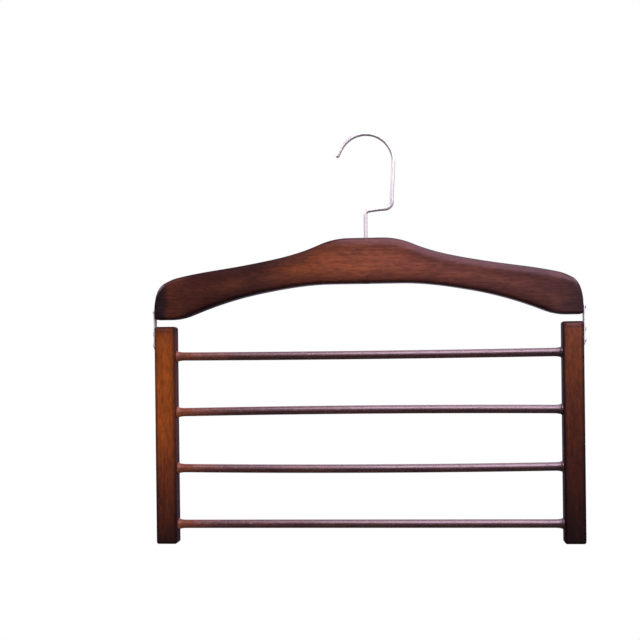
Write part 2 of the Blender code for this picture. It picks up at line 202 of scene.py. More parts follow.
def yoke_outline():
    """The closed outline as (x, z, edge round, round depth), from the crown clockwise as seen from the front."""
    shoulder_x = END_X - SHOULDER_FROM_END
    top = smooth_run(
        [
            (0, CROWN_Z, 0, TOP_ROUND),
            (CROWN_FLAT / 2, CROWN_Z, 0, TOP_ROUND),
            (NECK_FROM_CENTRE, CROWN_Z - NECK_DROP, NECK_SLOPE, TOP_ROUND),
            ((NECK_FROM_CENTRE + shoulder_x) / 2, CROWN_Z - ARM_DROP, ARM_SLOPE, TOP_ROUND),
            (shoulder_x, CROWN_Z - SHOULDER_DROP, SHOULDER_SLOPE, TOP_ROUND),
            (END_X - TURN_FROM_END, CROWN_Z - TURN_DROP, TURN_SLOPE, SHOULDER_ROUND),
            (END_X, FOOT_Z + FOOT_CORNER, -90, CORNER_ROUND),
        ],
        [n * OUTLINE_FINENESS for n in (2, 8, 9, 7, 5, 14)],
    )
    corner_centre = (END_X - FOOT_CORNER, FOOT_Z + FOOT_CORNER)
    corner = [
        (x, z, CORNER_ROUND)
        for x, z in arc(corner_centre, FOOT_CORNER, 0, -math.pi / 2, CORNER_STEPS)[1:-1]
    ]
    heel_x = END_X - HEEL_FROM_END
    under = smooth_run(
        [
            (END_X - FOOT_CORNER, FOOT_Z, 180, CORNER_ROUND),
            (END_X - FOOT_FROM_END, FOOT_Z, 180, UNDER_ROUND),
            (heel_x, FOOT_Z + HEEL_RISE, HEEL_SLOPE, UNDER_ROUND),
            ((ARCH_FLAT / 2 + heel_x) / 2, ARCH_Z - ARCH_ARM_DROP, ARCH_ARM_SLOPE, UNDER_ROUND),
            (ARCH_FLAT / 2, ARCH_Z, 180, UNDER_ROUND),
            (0, ARCH_Z, 180, UNDER_ROUND),
        ],
        [n * OUTLINE_FINENESS for n in (4, 8, 7, 8, 2)],
    )
    right = [(*point, ROUND_DEPTH) for point in top + corner + under]
    return right + [(-x, *rest) for x, *rest in reversed(right[1:-1])]


def new_object(name, data):
    obj = bpy.data.objects.new(name, data)
    bpy.context.scene.collection.objects.link(obj)
    return obj


def mesh_of(bm, name):
    """The mesh of the points and faces in bm, which it frees."""
    mesh = bpy.data.meshes.new(name)
    bm.to_mesh(mesh)
    bm.free()
    return mesh


def smooth(mesh):
    mesh.shade_smooth()
    mesh.set_sharp_from_angle(angle=SHARP_ANGLE)


def smooth_object(bm, name):
    """An object of the points and faces in bm, with its faces turned outwards."""
    bmesh.ops.recalc_face_normals(bm, faces=bm.faces)
    mesh = mesh_of(bm, name)
    smooth(mesh)
    return new_object(name, mesh)


def bridge(bm, rings):
    """Joins each ring of points to the next by faces. A ring may be a single point."""
    for ring, following in pairwise(rings):
        count = max(len(ring), len(following))
        for i in range(count):
            j = (i + 1) % count
            corners = [ring[i % len(ring)], ring[j % len(ring)], following[j % len(following)]]
            corners.append(following[i % len(following)])
            bm.faces.new(list(dict.fromkeys(corners)))


def inward_directions(outline):
    """The unit direction into the material at each point of a clockwise outline."""
    points = [Vector(point[:2]) for point in outline]
    sides = [(points[(i + 1) % len(points)] - point).normalized() for i, point in enumerate(points)]
    return [
        Vector((before.y + after.y, -before.x - after.x)).normalized()
        for before, after in zip([sides[-1], *sides[:-1]], sides, strict=True)
    ]


def face_fill(bm, ring):
    """Fills a flat face with small triangles, so that the distance to its edge can be kept in its points."""
    y = ring[0].co.y
    edge = [Vector((v.co.x, v.co.z)) for v in ring]
    line = np.array(edge)
    low, high = line.min(0), line.max(0)
    columns = np.arange(low[0] + FACE_SPACING, high[0], FACE_SPACING)
    rows = np.arange(low[1] + FACE_SPACING, high[1], FACE_SPACING)
    grid = np.array([(x, z) for x in columns for z in rows])
    inside = grid[within(grid, line) & (distance_to(grid, line) > FACE_SPACING / 2)]
    points = edge + [Vector(point) for point in inside]
    loop = [list(range(len(edge)))]
    found, _, faces, origins, _, _ = delaunay_2d_cdt(points, [], loop, 1, TINY)
    verts = []
    for point, origin in zip(found, origins, strict=True):
        known = [i for i in origin if i < len(ring)]
        verts.append(ring[known[0]] if known else bm.verts.new((point.x, y, point.y)))
    for face in faces:
        bm.faces.new([verts[i] for i in face])


def within(points, line):
    """Whether each point is inside a closed line, by how often a ray to the right of it crosses the line."""
    a, b = line, np.roll(line, -1, axis=0)
    x, z = points[:, :1], points[:, 1:]
    spans = (a[:, 1] > z) != (b[:, 1] > z)
    rise = np.where(a[:, 1] == b[:, 1], 1, b[:, 1] - a[:, 1])
    crossing = a[:, 0] + (z - a[:, 1]) / rise * (b[:, 0] - a[:, 0])
    return (spans & (x < crossing)).sum(1) % 2 == 1


def distance_to(points, line, closed=True):
    """The distance of each point from a line, which runs back to its first point if it is closed."""
    a, b = (line, np.roll(line, -1, axis=0)) if closed else (line[:-1], line[1:])
    side = b - a
    offset = points[:, None, :] - a[None]
    share = np.clip((offset * side).sum(2) / np.maximum((side**2).sum(1), TINY**2), 0, 1)
    return np.linalg.norm(offset - share[..., None] * side, axis=2).min(1)


def eased_board(name, outline, y_low, y_high, softness=1):
    """A board lofted from its outline (x, z, edge round, round depth), drawn in towards both faces so its edges
    are eased. At a softness of 1 an edge's section is a quarter ellipse, and above it fades into the face."""
    inward = inward_directions(outline)
    middle, half = (y_low + y_high) / 2, (y_high - y_low) / 2
    angles = quarter_turn(EASE_STEPS)
    levels = [(-1, angle) for angle in reversed(angles)] + [(1, angle) for angle in angles]
    bm = bmesh.new()
    rings = []
    for side, angle in levels:
        drawn_in = (1 - math.cos(angle)) ** softness
        ring = []
        for (x, z, edge_round, depth), n in zip(outline, inward, strict=True):
            y = middle + side * (half - depth * (1 - math.sin(angle)))
            ring.append(bm.verts.new((x + edge_round * drawn_in * n.x, y, z + edge_round * drawn_in * n.y)))
        rings.append(ring)
    bridge(bm, rings)
    face_fill(bm, rings[0])
    face_fill(bm, rings[-1])
    return smooth_object(bm, name)


def turned(name, profile, sides, turn, at):
    """A shape turned from (radius, height) points down its side, about Z, then turned and put in its place."""
    bm = bmesh.new()
    rings = []
    angles = [2 * math.pi * i / sides for i in range(sides)]
    for radius, height in profile:
        spokes = angles if radius > TINY else angles[:1]
        rings.append([bm.verts.new((radius * math.cos(a), radius * math.sin(a), height)) for a in spokes])
    bridge(bm, rings)
    bmesh.ops.transform(bm, matrix=Matrix.Translation(at) @ turn, verts=bm.verts)
    return smooth_object(bm, name)


def block(name, low, high, turn, at):
    """A cutter with flat sides."""
    bm = bmesh.new()
    bmesh.ops.create_cube(bm, size=1)
    size, middle = Vector(high) - Vector(low), (Vector(high) + Vector(low)) / 2
    bmesh.ops.transform(
        bm, matrix=Matrix.Translation(at) @ turn @ Matrix.Translation(middle) @ Matrix.Diagonal((*size, 1)),
        verts=bm.verts,
    )
    return new_object(name, mesh_of(bm, name))


def cut(obj, cutters):
    """Takes the cutters out of the object for good, and deletes them."""
    for cutter in cutters:
        boolean = obj.modifiers.new(cutter.name, "BOOLEAN")
        boolean.operation = "DIFFERENCE"
        boolean.solver = "EXACT"
        boolean.object = cutter
    graph = bpy.context.evaluated_depsgraph_get()
    mesh = bpy.data.meshes.new_from_object(obj.evaluated_get(graph))
    obj.modifiers.clear()
    obj.data = mesh
    smooth(mesh)
    for cutter in cutters:
        bpy.data.objects.remove(cutter)


def weigh_normals(obj):
    """Keeps the flat faces flat in their shading beside the eased edges."""
    weighted = obj.modifiers.new("flat faces", "WEIGHTED_NORMAL")
    weighted.keep_sharp = True
    weighted.weight = 100


def keep_distance(obj, name, outline, closed=True):
    """Keeps each point's distance from an outline or, if it isn't closed, from a part of one that runs along X.
    The wood darkens towards it."""
    coordinates = np.array([v.co for v in obj.data.vertices])
    line = np.array([point[:2] for point in (outline if closed else sorted(outline))])
    distance = distance_to(coordinates[:, [0, 2]], line, closed)
    stored = obj.data.attributes.new(name, "FLOAT", "POINT")
    stored.data.foreach_set("value", distance.astype(np.float32))


def dress(obj, node, body, finish):
    """Gives the piece its material, and puts it in the node's place on its body."""
    obj.data.materials.clear()
    obj.data.materials.append(finish)
    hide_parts(node)
    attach(obj, body)


# Node trees

AXES = {"x": 0, "y": 1, "z": 2}


class Graph:
    """Adds nodes to a material or world, and takes sockets or plain values for their inputs."""

    def __init__(self, tree):
        self.tree = tree

    def add(self, kind, inputs=None, **settings):
        node = self.tree.nodes.new(kind)
        for name, value in settings.items():
            setattr(node, name, value)
        for name, value in (inputs or {}).items():
            if isinstance(value, bpy.types.NodeSocket):
                self.tree.links.new(value, node.inputs[name])
            else:
                node.inputs[name].default_value = value
        return node

    def math(self, operation, *values):
        node = self.add("ShaderNodeMath", dict(enumerate(values)), operation=operation)
        return node.outputs[0]

    def times(self, first, second):
        return self.math("MULTIPLY", first, second)

    def plus(self, first, second):
        return self.math("ADD", first, second)

    def around_one(self, value, contrast):
        """Noise from 0 to 1, spread over a contrast around 1."""
        return self.plus(1 - contrast / 2, self.times(value, contrast))

    def fit(self, value, low, high, to_low=0.0, to_high=1.0, smooth_step=False):
        """The value's place between low and high, from to_low to to_high."""
        node = self.add(
            "ShaderNodeMapRange",
            {"Value": value, "From Min": low, "From Max": high, "To Min": to_low, "To Max": to_high},
            interpolation_type="SMOOTHSTEP" if smooth_step else "LINEAR",
        )
        return node.outputs[0]

    def stretched(self, point, scale):
        node = self.add("ShaderNodeVectorMath", {0: point, 1: scale}, operation="MULTIPLY")
        return node.outputs[0]

    def noise(self, point, scale, detail=3.0, roughness=0.5, distortion=0.0):
        """Noise stretched by a scale per metre for each axis."""
        node = self.add(
            "ShaderNodeTexNoise",
            {
                "Vector": self.stretched(point, scale),
                "Scale": 1.0,
                "Detail": detail,
                "Roughness": roughness,
                "Distortion": distortion,
            },
        )
        return node.outputs["Factor" if "Factor" in node.outputs else "Fac"]

    def ramp(self, value, stops):
        node = self.add("ShaderNodeValToRGB", {0: value})
        elements = node.color_ramp.elements
        while len(elements) < len(stops):
            elements.new(0.5)
        for element, (place, colour) in zip(elements, stops, strict=True):
            element.position = place
            element.color = (*colour, 1)
        return node.outputs[0]

    def blend(self, kind, share, first, second):
        node = self.add("ShaderNodeMix", data_type="RGBA", blend_type=kind)
        for index, value in ((0, share), (6, first), (7, second)):
            if isinstance(value, bpy.types.NodeSocket):
                self.tree.links.new(value, node.inputs[index])
            elif index:
                node.inputs[index].default_value = (*value, 1)
            else:
                node.inputs[index].default_value = value
        return node.outputs[2]

    def grey(self, value):
        node = self.add("ShaderNodeCombineColor", {0: value, 1: value, 2: value})
        return node.outputs[0]

    def bump(self, shader, height, share, relief):
        node = self.add("ShaderNodeBump", {"Strength": share, "Distance": relief, "Height": height})
        self.tree.links.new(node.outputs[0], shader.inputs["Normal"])


def new_material(name):
    made = bpy.data.materials.new(name)
    made.use_nodes = True
    graph = Graph(made.node_tree)
    return made, graph, made.node_tree.nodes["Principled BSDF"]


def set_sockets(shader, values):
    for name, value in values.items():
        shader.inputs[name].default_value = value


def grain_scale(along, lengthwise, across):
    """Scales per metre for a grain that runs along an axis."""
    scale = [across] * 3
    scale[AXES[along]] = lengthwise
    return scale


LACQUER_TINT = (1.0, 0.60, 0.86)
GREYER_TINT = (1.0, 0.72, 0.90)
LACQUER_IOR = 1.7
SHEEN = 0.05
SHEEN_ROUGHNESS = 0.5
SHEEN_TINT = (0.75, 0.30, 0.65)
COOL, WARM = (0.94, 0.98, 1.06), (1.06, 1.04, 0.90)
WANDER_SHARE = 0.06
MOTTLE_CONTRAST = 3.0
STREAK_CONTRAST = 0.76
FLECK_CONTRAST = 1.5
FIBRE_CONTRAST = 0.28
PORE_DARKNESS = 0.38
PORE_ROUGHNESS = 0.12
DARKEST = 0.08
PORE_LIMITS = (0.60, 0.72)
WARMTH_LIMITS = (0.35, 0.65)
STREAK_HEIGHT, PORE_HEIGHT, FIBRE_HEIGHT = 0.5, 0.6, 0.12
WOOD_RELIEF = 0.0002


def wood(
    name, along, stain, stain_ends, gloss, roughness, edges=(), mottle=0.5, shift=0.0, uneven=0.14,
    relief_share=0.2, tint=LACQUER_TINT,
):
    """Stained, lacquered wood, whose grain runs along an axis. The stain's colours run between two places on
    that axis, and the grain's mottles, streaks, flecks, fibres and pores lie over them. On the yoke these
    colours carry painted shade at its ends, and on the rails painted light at their left ends. It darkens to a
    share of itself at each of its edges, which are given as (distance attribute, reach, share)."""
    made, g, shader = new_material(name)
    point = g.add("ShaderNodeTexCoord").outputs["Object"]
    apart = g.add("ShaderNodeVectorMath", {0: point, 1: (shift, shift, shift)}, operation="ADD").outputs[0]
    split = g.add("ShaderNodeSeparateXYZ", {0: point})

    # Scales per metre along the grain and across it, then detail, roughness and distortion
    wander = g.noise(apart, grain_scale(along, 9, 30), 2)
    mottles = g.noise(apart, grain_scale(along, 26, 75), 3, 0.55, 0.6)
    streaks = g.noise(apart, grain_scale(along, 11, 520), 5, 0.62, 0.25)
    fibres = g.noise(apart, grain_scale(along, 45, 2600), 3, 0.6)
    flecks = g.noise(apart, grain_scale(along, 150, 560), 3, 0.6, 0.2)
    pores = g.fit(g.noise(apart, grain_scale(along, 120, 1900), 2, 0.5), *PORE_LIMITS)

    light = g.around_one(mottles, MOTTLE_CONTRAST * mottle)
    for layer, contrast in ((streaks, STREAK_CONTRAST), (flecks, FLECK_CONTRAST), (fibres, FIBRE_CONTRAST)):
        light = g.times(light, g.around_one(layer, contrast))
    light = g.times(light, g.math("SUBTRACT", 1.0, g.times(pores, PORE_DARKNESS)))
    for attribute, reach, share in edges:
        distance = g.add("ShaderNodeAttribute", attribute_name=attribute).outputs["Fac"]
        light = g.times(light, g.fit(distance, 0.0, reach, share, 1.0, smooth_step=True))
    light = g.math("MAXIMUM", light, DARKEST)

    place = g.fit(split.outputs[AXES[along]], *stain_ends)
    place = g.plus(place, g.times(g.math("SUBTRACT", wander, 0.5), WANDER_SHARE))
    colour = g.ramp(place, stain)
    colour = g.blend("MULTIPLY", 1.0, colour, g.blend("MIX", g.fit(mottles, *WARMTH_LIMITS), COOL, WARM))
    colour = g.blend("MULTIPLY", 1.0, colour, g.grey(light))
    g.tree.links.new(colour, shader.inputs["Base Color"])

    rough = g.plus(roughness - uneven / 2, g.times(streaks, uneven))
    rough = g.plus(rough, g.times(pores, PORE_ROUGHNESS))
    g.tree.links.new(rough, shader.inputs["Roughness"])

    relief = g.math("SUBTRACT", g.times(streaks, STREAK_HEIGHT), g.times(pores, PORE_HEIGHT))
    relief = g.plus(relief, g.times(fibres, FIBRE_HEIGHT))
    g.bump(shader, relief, relief_share, WOOD_RELIEF)
    values = {
        "IOR": LACQUER_IOR,
        "Specular IOR Level": gloss,
        "Specular Tint": (*tint, 1),
        "Sheen Weight": SHEEN,
        "Sheen Roughness": SHEEN_ROUGHNESS,
        "Sheen Tint": (*SHEEN_TINT, 1),
    }
    set_sockets(shader, values)
    return made


CLOUD_SCALE = (90, 90, 90)
METAL_ROUGHNESS_DROP = 0.05
CLOUD_ROUGHNESS = 0.06
MARK_ROUGHNESS = 0.08
METAL_RELIEF = 0.00005


def metal(name, colour, roughness, mark_scale, relief_share, contrast, metallic=1.0):
    """Plated or bare metal with fine marks, stretched by a scale per metre for each axis, and a finish that
    varies a little."""
    made, g, shader = new_material(name)
    point = g.add("ShaderNodeTexCoord").outputs["Object"]
    clouds = g.noise(point, CLOUD_SCALE, 3, 0.6)
    marks = g.noise(point, mark_scale, 4, 0.7)
    tone = g.grey(g.around_one(clouds, contrast))
    g.tree.links.new(g.blend("MULTIPLY", 1.0, colour, tone), shader.inputs["Base Color"])
    rough = g.plus(roughness - METAL_ROUGHNESS_DROP, g.times(clouds, CLOUD_ROUGHNESS))
    rough = g.plus(rough, g.times(marks, MARK_ROUGHNESS))
    g.tree.links.new(rough, shader.inputs["Roughness"])
    g.bump(shader, marks, relief_share, METAL_RELIEF)
    set_sockets(shader, {"Metallic": metallic})
    return made


# Materials

# Stain along the yoke, darker towards both ends: partly stain, partly painted shade. The near-black band at the
# left end is painted shade.
YOKE_STAIN_AND_SHADE = [
    (0.00, (0.008, 0.004, 0.005)),
    (0.020, (0.012, 0.006, 0.006)),
    (0.034, (0.048, 0.012, 0.006)),
    (0.26, (0.059, 0.016, 0.009)),
    (0.36, (0.150, 0.037, 0.014)),
    (0.50, (0.176, 0.046, 0.023)),
    (0.60, (0.156, 0.041, 0.024)),
    (0.72, (0.136, 0.039, 0.026)),
    (0.93, (0.068, 0.022, 0.017)),
    (1.00, (0.025, 0.012, 0.012)),
]
LEFT_STILE_STAIN = [
    (0.00, (0.014, 0.004, 0.002)),
    (0.30, (0.086, 0.017, 0.003)),
    (0.55, (0.205, 0.041, 0.003)),
    (0.80, (0.192, 0.040, 0.002)),
    (1.00, (0.185, 0.038, 0.004)),
]
RIGHT_STILE_STAIN = [
    (0.00, (0.008, 0.003, 0.001)),
    (0.30, (0.032, 0.007, 0.002)),
    (0.55, (0.056, 0.012, 0.003)),
    (0.80, (0.108, 0.024, 0.006)),
    (1.00, (0.125, 0.033, 0.014)),
]
# Stain along the rails, with painted light in the brighter red at their left ends.
RAIL_STAIN_AND_LIGHT = [
    (0.00, (0.165, 0.040, 0.012)),
    (0.06, (0.120, 0.030, 0.012)),
    (0.16, (0.055, 0.017, 0.012)),
    (0.90, (0.040, 0.016, 0.013)),
    (1.00, (0.030, 0.013, 0.011)),
]

stile_low, stile_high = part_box("left_stile")
stile_ends = (stile_low.z, stile_high.z)
yoke_edges = (("rim", 0.003, 0.35), ("upper", 0.020, 0.38), ("under", 0.018, 0.34))
left_edges = (("rim", 0.004, 0.22), ("upper", 0.011, 0.55))
right_edges = (("rim", 0.0045, 0.08), ("upper", 0.009, 0.70))
yoke_wood = wood(
    "yoke_wood", "x", YOKE_STAIN_AND_SHADE, (-END_X, END_X),
    gloss=0.18, roughness=0.27, edges=yoke_edges, mottle=0.3, shift=4.6, relief_share=0.08,
)
stile_woods = {
    "left": wood(
        "left_stile_wood", "z", LEFT_STILE_STAIN, stile_ends,
        gloss=0.15, roughness=0.40, edges=left_edges, mottle=0.25, shift=3.1,
    ),
    "right": wood(
        "right_stile_wood", "z", RIGHT_STILE_STAIN, stile_ends,
        gloss=0.15, roughness=0.40, edges=right_edges, mottle=0.25, shift=7.7,
    ),
}
rail_ends = (stile_high.x, -stile_high.x)
rail_wood = wood(
    "rail_wood", "x", RAIL_STAIN_AND_LIGHT, rail_ends,
    gloss=1.0, roughness=0.28, mottle=0.4, shift=5.3, uneven=0.45, relief_share=0.55, tint=GREYER_TINT,
)
# Painted shade: the rail's wood with less gloss, so that the left ends lose their highlight.
rail_end_painted_shade_wood = wood(
    "rail_end_painted_shade_wood", "x", RAIL_STAIN_AND_LIGHT, rail_ends,
    gloss=0.3, roughness=0.40, mottle=0.4, shift=5.3,
)
hook_metal = metal(
    "satin_nickel", (0.84, 0.75, 0.80),
    roughness=0.44, mark_scale=(500, 500, 500), relief_share=0.02, contrast=0.04, metallic=0.85,
)
plate_metal = metal(
    "plated_strip", (0.94, 0.88, 0.94),
    roughness=0.32, mark_scale=(4000, 4000, 200), relief_share=0.08, contrast=0.06, metallic=0.3,
)
screw_metal = metal(
    "plated_screw", (0.70, 0.67, 0.68),
    roughness=0.28, mark_scale=(2500, 2500, 2500), relief_share=0.12, contrast=0.10,
)
bush_brass = metal(
    "turned_brass", (0.78, 0.57, 0.28),
    roughness=0.30, mark_scale=(200, 200, 6000), relief_share=0.25, contrast=0.10,
)


# Shared by the pieces

SIDES = (("left", -1), ("right", 1))


def outwards(side):
    """The turn that lays a turned piece's axis along X, its top facing away from the hanger."""
    return Matrix.Rotation(side * math.pi / 2, 4, "Y")


def middle_of(node):
    low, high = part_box(node)
    return (low + high) / 2


def screw_hole(name, side, z):
    radius = SCREW_SHANK_DIAMETER / 2 + FIT_GAP
    bottom = SCREW_SEAT_X - SCREW_LENGTH - FIT_GAP
    profile = [(0, END_X + CUT_MARGIN), (radius, END_X + CUT_MARGIN), (radius, bottom), (0, bottom)]
    return turned(name, profile, SCREW_SIDES, outwards(side), (0, 0, z))


# Yoke

def make_yoke():
    outline = yoke_outline()
    board = eased_board("yoke_board", outline, YOKE_LOW.y, YOKE_HIGH.y, ROUND_SOFTNESS)
    seat_z = CROWN_Z - BUSH_LENGTH - FIT_GAP
    bush_bore = BUSH_DIAMETER / 2 + FIT_GAP
    shank_bore = WIRE_DIAMETER / 2 + FIT_GAP
    counterbore = WASHER_DIAMETER / 2 + FIT_GAP
    ceiling_z = ARCH_Z + COUNTERBORE_DEPTH
    profile = [
        (0, CROWN_Z + CUT_MARGIN),
        (bush_bore, CROWN_Z + CUT_MARGIN),
        (bush_bore, seat_z),
        (shank_bore, seat_z),
        (shank_bore, ceiling_z),
        (counterbore, ceiling_z),
        (counterbore, ARCH_Z - CUT_MARGIN),
        (0, ARCH_Z - CUT_MARGIN),
    ]
    cutters = [turned("hook_bore", profile, ROUND_SIDES, Matrix(), (0, 0, 0))]
    pivot_z = middle_of("left_pivot_screw").z
    for name, side in SIDES:
        cutters.append(screw_hole(f"{name}_pivot_hole", side, pivot_z))
    cut(board, cutters)
    weigh_normals(board)
    keep_distance(board, "rim", outline)
    arms = [point for point in outline if abs(point[0]) < ARM_REACH]
    divide_z = ARCH_Z + CUT_MARGIN
    keep_distance(board, "upper", [point for point in arms if point[1] > divide_z], closed=False)
    keep_distance(board, "under", [point for point in arms if point[1] < divide_z], closed=False)
    dress(board, "yoke", "yoke", yoke_wood)


# Stiles

def stile_outline(low, high):
    """A clockwise rectangle with round corners, as (x, z, edge round, round depth)."""
    r = STILE_CORNER
    corners = [
        ((high.x - r, high.z - r), math.pi / 2),
        ((high.x - r, low.z + r), 0),
        ((low.x + r, low.z + r), -math.pi / 2),
        ((low.x + r, high.z - r), -math.pi),
    ]
    outline = []
    for centre, start in corners:
        for x, z in arc(centre, r, start, start - math.pi / 2, CORNER_STEPS):
            top_share = max(0, (z - high.z) / r + 1)
            edge_round = STILE_EASE + (STILE_TOP_EASE - STILE_EASE) * top_share
            depth = STILE_EASE + (STILE_TOP_DEPTH - STILE_EASE) * top_share
            outline.append((x, z, edge_round, depth))
    return outline


def make_stile(name, side):
    node = f"{name}_stile"
    low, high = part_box(node)
    outline = stile_outline(low, high)
    bar = eased_board(f"{name}_stile_bar", outline, low.y, high.y)
    inner = high.x if side < 0 else low.x
    cutters = []
    for rail in RAIL_BOWS:
        radius = RAIL_DIAMETER / 2 + FIT_GAP
        top, bottom = abs(inner) + TENON_LENGTH, abs(inner) - CUT_MARGIN
        profile = [(0, top), (radius, top), (radius, bottom), (0, bottom)]
        at = (0, 0, middle_of(rail).z)
        cutters.append(turned(f"{name}_{rail}_socket", profile, ROUND_SIDES, outwards(side), at))
    for place in ("upper", "lower"):
        z = middle_of(f"{name}_{place}_screw").z
        cutters.append(screw_hole(f"{name}_{place}_hole", side, z))
    cut(bar, cutters)
    weigh_normals(bar)
    keep_distance(bar, "rim", outline)
    top_corners = [point for point in outline if point[1] > high.z - STILE_CORNER]
    keep_distance(bar, "upper", top_corners, closed=False)
    dress(bar, node, "ladder", stile_woods[name])


# Rails

def rail_profile(end):
    """A dowel's half section about its own axis, from one end to the other: tenon, flared shoulder, plain run,
    and the same again."""
    shoulder = end - TENON_LENGTH
    radius = RAIL_DIAMETER / 2
    flare = FLARE_DIAMETER / 2 - radius
    cove = [
        (
            radius + flare * (1 - math.sin(a)),
            shoulder - FLARE_LIP - (FLARE_LENGTH - FLARE_LIP) * (1 - math.cos(a)),
        )
        for a in quarter_turn(EASE_STEPS)
    ]
    upper = [
        (0, end),
        (radius - TENON_CHAMFER, end),
        (radius, end - TENON_CHAMFER),
        (radius, shoulder),
        (FLARE_DIAMETER / 2, shoulder),
        *cove,
    ]
    plain = shoulder - FLARE_LENGTH
    run = [(radius, plain * (1 - 2 * i / RUN_STEPS)) for i in range(1, RUN_STEPS)]
    return upper + run + [(r, -z) for r, z in reversed(upper)]


def make_rail(rail, bow):
    """A turned dowel, bent up or down by its bow between its shoulders."""
    low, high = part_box(rail)
    profile = rail_profile((high.x - low.x) / 2)
    dowel = turned(f"{rail}_dowel", profile, ROUND_SIDES, outwards(1), middle_of(rail))
    shoulder = high.x - TENON_LENGTH
    for v in dowel.data.vertices:
        v.co.z += bow * max(0, 1 - (v.co.x / shoulder) ** 2)
    dress(dowel, rail, "ladder", rail_wood)
    # The left ends take the duller copy, as painted shade.
    dowel.data.materials.append(rail_end_painted_shade_wood)
    for face in dowel.data.polygons:
        face.material_index = int(face.center.x < RAIL_END_LENGTH - shoulder)


# Hook

def hook_path():
    """Centreline points (x, z, radius shares across and through), from the upset end up the stem to the tip."""
    radius = WIRE_DIAMETER / 2
    spread = UPSET_DIAMETER / WIRE_DIAMETER
    foot_z = UPSET_TOP_Z - UPSET_HEIGHT
    dome = [
        (
            0,
            foot_z + UPSET_HEIGHT / 2 * (1 - math.cos(a)),
            spread * (UPSET_FLAT_SHARE + (1 - UPSET_FLAT_SHARE) * math.sin(a)),
        )
        for a in quarter_turn(EASE_STEPS)
    ]
    stem = [*dome, (0, UPSET_TOP_Z, spread), (0, UPSET_TOP_Z + FIT_GAP / 2, 1)]

    arc_centre = (0, HOOK_TOP_Z - (radius + HOOK_RADIUS) / math.cos(HOOK_LEAN))
    stem_bend_centre = (STEM_BEND_RADIUS, CROWN_Z + STEM_HEIGHT - STEM_BEND_RADIUS)
    stem_bend = arc(stem_bend_centre, STEM_BEND_RADIUS, math.pi, math.pi / 2 + RUN_SLOPE, BEND_STEPS)
    run_start = Vector(stem_bend[-1])
    run_along = Vector((math.cos(RUN_SLOPE), math.sin(RUN_SLOPE)))
    to_bend = Vector((-math.sin(RUN_SLOPE), math.cos(RUN_SLOPE))) * LEG_BEND_RADIUS
    leg_out = Vector((math.cos(LEG_LEAN), -math.sin(LEG_LEAN)))
    room = HOOK_RADIUS - LEG_BEND_RADIUS - (run_start + to_bend - Vector(arc_centre)).dot(leg_out)
    run_length = room / run_along.dot(leg_out)
    bend_centre = run_start + to_bend + run_along * run_length
    run = [tuple(run_start + run_along * run_length * i / RUN_STEPS) for i in range(1, RUN_STEPS)]
    leg_bend = arc(bend_centre, LEG_BEND_RADIUS, RUN_SLOPE - math.pi / 2, -LEG_LEAN, BEND_STEPS)
    hook_arc = arc(arc_centre, HOOK_RADIUS, -LEG_LEAN, HOOK_ARC_END, HOOK_ARC_STEPS)
    leg_start, leg_end = Vector(leg_bend[-1]), Vector(hook_arc[0])
    leg = [tuple(leg_start.lerp(leg_end, i / LEG_STEPS)) for i in range(1, LEG_STEPS)]
    end_x, end_z = hook_arc[-1]
    along = (-math.sin(HOOK_ARC_END), math.cos(HOOK_ARC_END))
    straight = HOOK_TIP_LENGTH - radius
    tip = [
        (
            end_x + along[0] * (straight + radius * math.sin(a)),
            end_z + along[1] * (straight + radius * math.sin(a)),
            math.cos(a),
        )
        for a in quarter_turn(EASE_STEPS)[:-1]
    ]
    middle = Vector(leg_bend[BEND_STEPS // 2])
    lean = math.tan(HOOK_LEAN)
    path = [(x, z, share, share) for x, z, share in stem]
    for x, z, share in [(x, z, 1) for x, z in stem_bend + run + leg_bend + leg + hook_arc] + tip:
        pressed = math.exp(-(((Vector((x, z)) - middle).length / BEND_REACH) ** 2))
        across = share * (1 + (BEND_SPREAD - 1) * pressed)
        through = share * (1 + (BEND_THINNING - 1) * pressed)
        path.append((x + (z - CROWN_Z) * lean, z - x * lean, across, through))
    return path


def make_hook():
    """Sweeps a ring along the path, which lies in the XZ plane."""
    path = hook_path()
    radius = WIRE_DIAMETER / 2
    bm = bmesh.new()
    rings = []
    for i, (x, z, across_share, through_share) in enumerate(path):
        before, after = path[max(i - 1, 0)], path[min(i + 1, len(path) - 1)]
        along = Vector((after[0] - before[0], 0, after[1] - before[1])).normalized()
        across = Vector((along.z, 0, -along.x))
        ring = []
        for k in range(WIRE_SIDES):
            angle = 2 * math.pi * k / WIRE_SIDES
            spoke = across * across_share * math.cos(angle)
            spoke += Vector((0, 1, 0)) * through_share * math.sin(angle)
            ring.append(bm.verts.new(Vector((x, 0, z)) + spoke * radius))
        rings.append(ring)
    bridge(bm, rings)
    bm.faces.new(rings[0])
    bm.faces.new(rings[-1])
    dress(smooth_object(bm, "hook_wire"), "hook", "hook", hook_metal)


# Plates

def make_plate(name, side):
    """A strip with round ends and eased edges, drilled for its three screws."""
    node = f"{name}_plate"
    low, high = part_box(node)
    half = (high.y - low.y) / 2
    outline = [
        (y, z, PLATE_EDGE, PLATE_EDGE)
        for centre_z, start in ((high.z - half, math.pi), (low.z + half, 0))
        for y, z in arc((0, centre_z), half, start, start - math.pi, 2 * CORNER_STEPS)
    ]
    strip = eased_board(f"{name}_link_plate", outline, low.x, high.x)
    upright = Matrix(((0, 1, 0, 0), (1, 0, 0, 0), (0, 0, 1, 0), (0, 0, 0, 1)))
    strip.data.transform(upright)
    strip.data.flip_normals()
    cutters = [
        screw_hole(f"{name}_{place}_plate_hole", side, middle_of(f"{name}_{place}_screw").z)
        for place in ("pivot", "upper", "lower")
    ]
    cut(strip, cutters)
    weigh_normals(strip)
    dress(strip, node, "ladder", plate_metal)


# Screws

